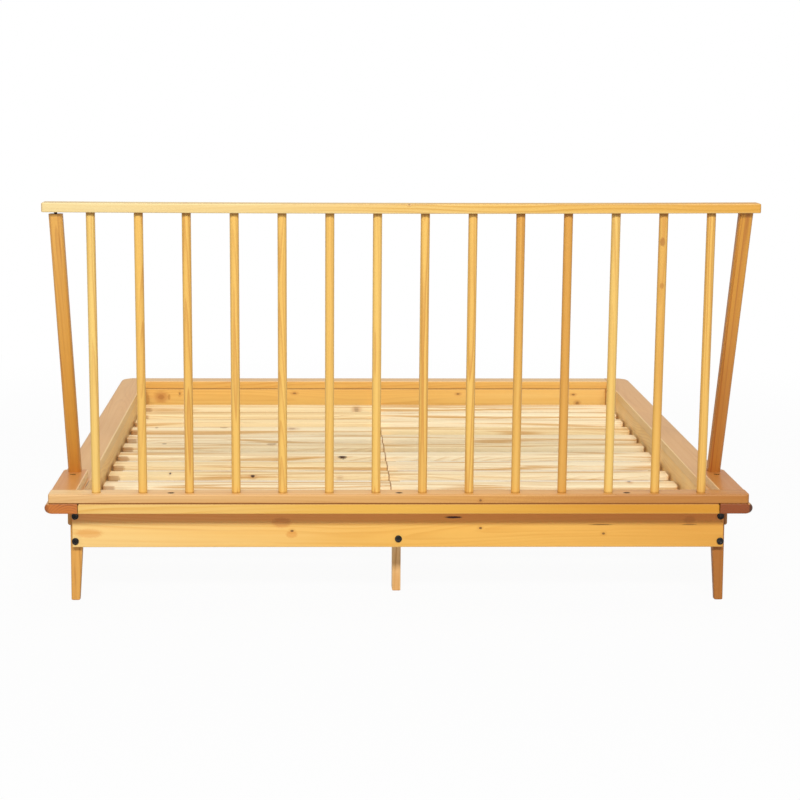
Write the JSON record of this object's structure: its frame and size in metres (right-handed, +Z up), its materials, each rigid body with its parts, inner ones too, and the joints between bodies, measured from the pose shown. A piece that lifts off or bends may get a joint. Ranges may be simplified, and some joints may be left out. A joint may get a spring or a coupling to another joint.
{
  "type": "spindle bed",
  "caption": "Low solid pine bed: a ring of flat boards round the mattress on square tapered legs, half slats on a centre beam, and a leaning headboard of round spindles between raked posts",
  "frame": {"origin": "on the floor, under the middle of the whole bed's footprint, headboard included", "axes": "+X to the right as seen from behind the headboard, +Y from the head to the foot, +Z up"},
  "size_m": [1.704, 2.258, 0.977],
  "materials": {
    "finished_pine": "satin oiled pine",
    "bare_pine": "planed bare pine",
    "dowel_beech": "plain",
    "black_steel": "satin black",
    "plain_steel": "zinc plated"
  },
  "bodies": {
    "root": {"arm_dowels": "dowel_beech", "barrel_nuts": "plain_steel", "centre_beam": "bare_pine", "centre_leg_foot": "bare_pine", "centre_leg_head": "bare_pine", "centre_leg_middle": "bare_pine", "centre_leg_studs": "plain_steel", "foot_apron": "finished_pine", "foot_slab": "finished_pine", "frame_bolts": "black_steel", "head_apron": "finished_pine", "head_slab": "finished_pine", "headboard_arm_left": "finished_pine", "headboard_arm_right": "finished_pine", "headboard_base_rail": "finished_pine", "headboard_screws": "black_steel", "ledger_screws": "plain_steel", "leg_foot_left": "finished_pine", "leg_foot_right": "finished_pine", "leg_head_left": "finished_pine", "leg_head_right": "finished_pine", "post_left": "finished_pine", "post_pins": "black_steel", "post_right": "finished_pine", "ring_dowels": "dowel_beech", "side_rail_left": "finished_pine", "side_rail_right": "finished_pine", "side_slab_left": "finished_pine", "side_slab_right": "finished_pine", "slat_ledger_left": "bare_pine", "slat_ledger_right": "bare_pine", "slat_row_01": "bare_pine", "slat_row_02": "bare_pine", "slat_row_03": "bare_pine", "slat_row_04": "bare_pine", "slat_row_05": "bare_pine", "slat_row_06": "bare_pine", "slat_row_07": "bare_pine", "slat_row_08": "bare_pine", "slat_row_09": "bare_pine", "slat_row_10": "bare_pine", "slat_row_11": "bare_pine", "slat_row_12": "bare_pine", "slat_row_13": "bare_pine", "spindle_01": "finished_pine", "spindle_02": "finished_pine", "spindle_03": "finished_pine", "spindle_04": "finished_pine", "spindle_05": "finished_pine", "spindle_06": "finished_pine", "spindle_07": "finished_pine", "spindle_08": "finished_pine", "spindle_09": "finished_pine", "spindle_10": "finished_pine", "spindle_11": "finished_pine", "spindle_12": "finished_pine", "spindle_13": "finished_pine", "spindle_14": "finished_pine", "top_rail": "finished_pine"}
  },
  "joints": []
}
